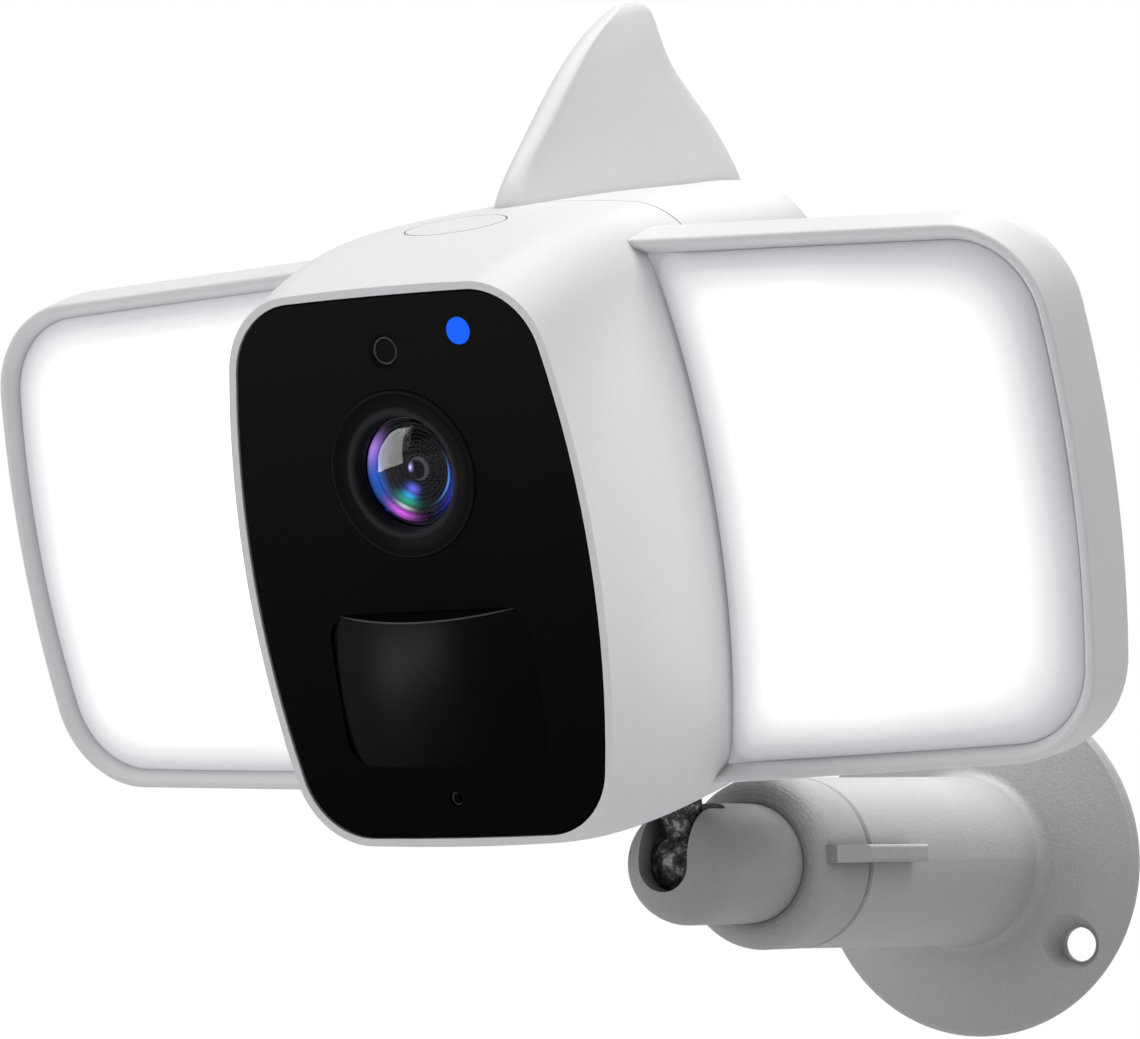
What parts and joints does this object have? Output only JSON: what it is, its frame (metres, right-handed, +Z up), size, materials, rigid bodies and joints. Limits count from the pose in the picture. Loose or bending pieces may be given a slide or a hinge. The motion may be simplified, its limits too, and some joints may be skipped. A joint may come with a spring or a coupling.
{
  "type": "floodlight security camera",
  "caption": "Wall-mounted floodlight security camera: barrel-shaped head with black lens panel, two side lamps and an antenna fin, on a slotted ball-joint bracket.",
  "frame": {"origin": "centre of the wall flange's back face, on the bracket tube's axis", "axes": "+Y into the wall, along the tube; -Y is the way the camera looks at rest, before its downward tilt; +Z up; +X to the viewer's right"},
  "size_m": [0.228, 0.2265, 0.1964],
  "materials": {
    "white_shell": "fine spark-eroded texture",
    "black_panel": "smoked acrylic, satin gloss",
    "black_plastic": "satin black",
    "lens_glass": "multi-coated, violet and blue reflections",
    "opal_diffuser": "opal, lit",
    "status_blue": "lit blue light pipe",
    "black_rubber": "matt",
    "white_rubber": "matt",
    "foam": "closed-cell foam tape",
    "circuit_board": "green solder resist",
    "led_board": "white solder resist on aluminium",
    "components": "moulded packages and cans",
    "led_chips": "phosphor",
    "cells": "sleeved cell; density close to a real lithium cell",
    "cradle": "plain",
    "speaker": "paper cone in a plastic basket",
    "steel": "zinc plated",
    "dark_steel": "oiled, dark",
    "brass": "turned",
    "bracket_paint": "die casting, light grey fine-grain powder coat",
    "nylon": "natural nylon"
  },
  "bodies": {
    "bracket": {"wall_bracket": "bracket_paint"},
    "collar": {"clamp_collar": "bracket_paint"},
    "knuckle": {"socket_knuckle": "bracket_paint", "ball_seat": "nylon"},
    "stud": {"ball_stud": "dark_steel", "lock_nut": "dark_steel"},
    "plug": {"service_plug": "white_rubber"},
    "reset": {"reset_button": "black_plastic"},
    "head": {"front_shell": "white_shell", "rear_shell": "white_shell", "shell_seal": "black_rubber", "front_panel": "black_panel", "panel_gasket": "foam", "lens_bezel": "black_plastic", "lens_glass": "lens_glass", "lens_barrel": "black_plastic", "image_sensor_board": "circuit_board", "light_sensor_window": "black_panel", "light_sensor": "components", "status_light_pipe": "status_blue", "status_led": "led_chips", "pir_lens": "black_panel", "pir_sensor": "steel", "microphone": "components", "mic_boot": "black_rubber", "front_board": "circuit_board", "main_board": "circuit_board", "board_components": "components", "battery_cells": "cells", "battery_cradle": "cradle", "speaker": "speaker", "service_board": "circuit_board", "memory_card": "black_plastic", "reset_switch": "components", "tripod_insert": "brass", "shell_screws": "steel", "board_screws": "steel", "antenna_fin": "white_shell", "antenna_element": "circuit_board", "fin_screws": "steel", "lamp_screws": "steel", "lamp_housing_right": "white_shell", "lamp_housing_left": "white_shell", "lamp_diffuser_right": "opal_diffuser", "lamp_diffuser_left": "opal_diffuser", "led_board_right": "led_board", "led_board_left": "led_board", "led_chips_right": "led_chips", "led_chips_left": "led_chips"}
  },
  "joints": [
    {"name": "collar_turn", "type": "hinge", "parent": "bracket", "child": "collar", "pos_m": [0, -0.092, 0], "axis": [0, -1, 0], "range_deg": [-90, 90]},
    {"name": "knuckle_turn", "type": "hinge", "parent": "bracket", "child": "knuckle", "pos_m": [0, -0.1, 0], "axis": [0, -1, 0], "continuous": true},
    {"name": "head_tilt", "type": "hinge", "parent": "knuckle", "child": "stud", "pos_m": [0, -0.126, 0], "axis": [1, 0, 0], "range_deg": [-9, 75]},
    {"name": "head_pan", "type": "hinge", "parent": "stud", "child": "head", "pos_m": [0, -0.126, 0], "axis": [0, -0.2554, 0.9668], "range_deg": [-170, 170]},
    {"name": "plug_lift", "type": "slide", "parent": "head", "child": "plug", "axis": [0, -0.2554, 0.9668], "range_m": [0, 0.014]},
    {"name": "reset_press", "type": "slide", "parent": "head", "child": "reset", "axis": [0, 0.2554, -0.9668], "range_m": [0, 0.0004], "stiffness_N_per_m": 2000, "springref_m": -0.0002}
  ]
}
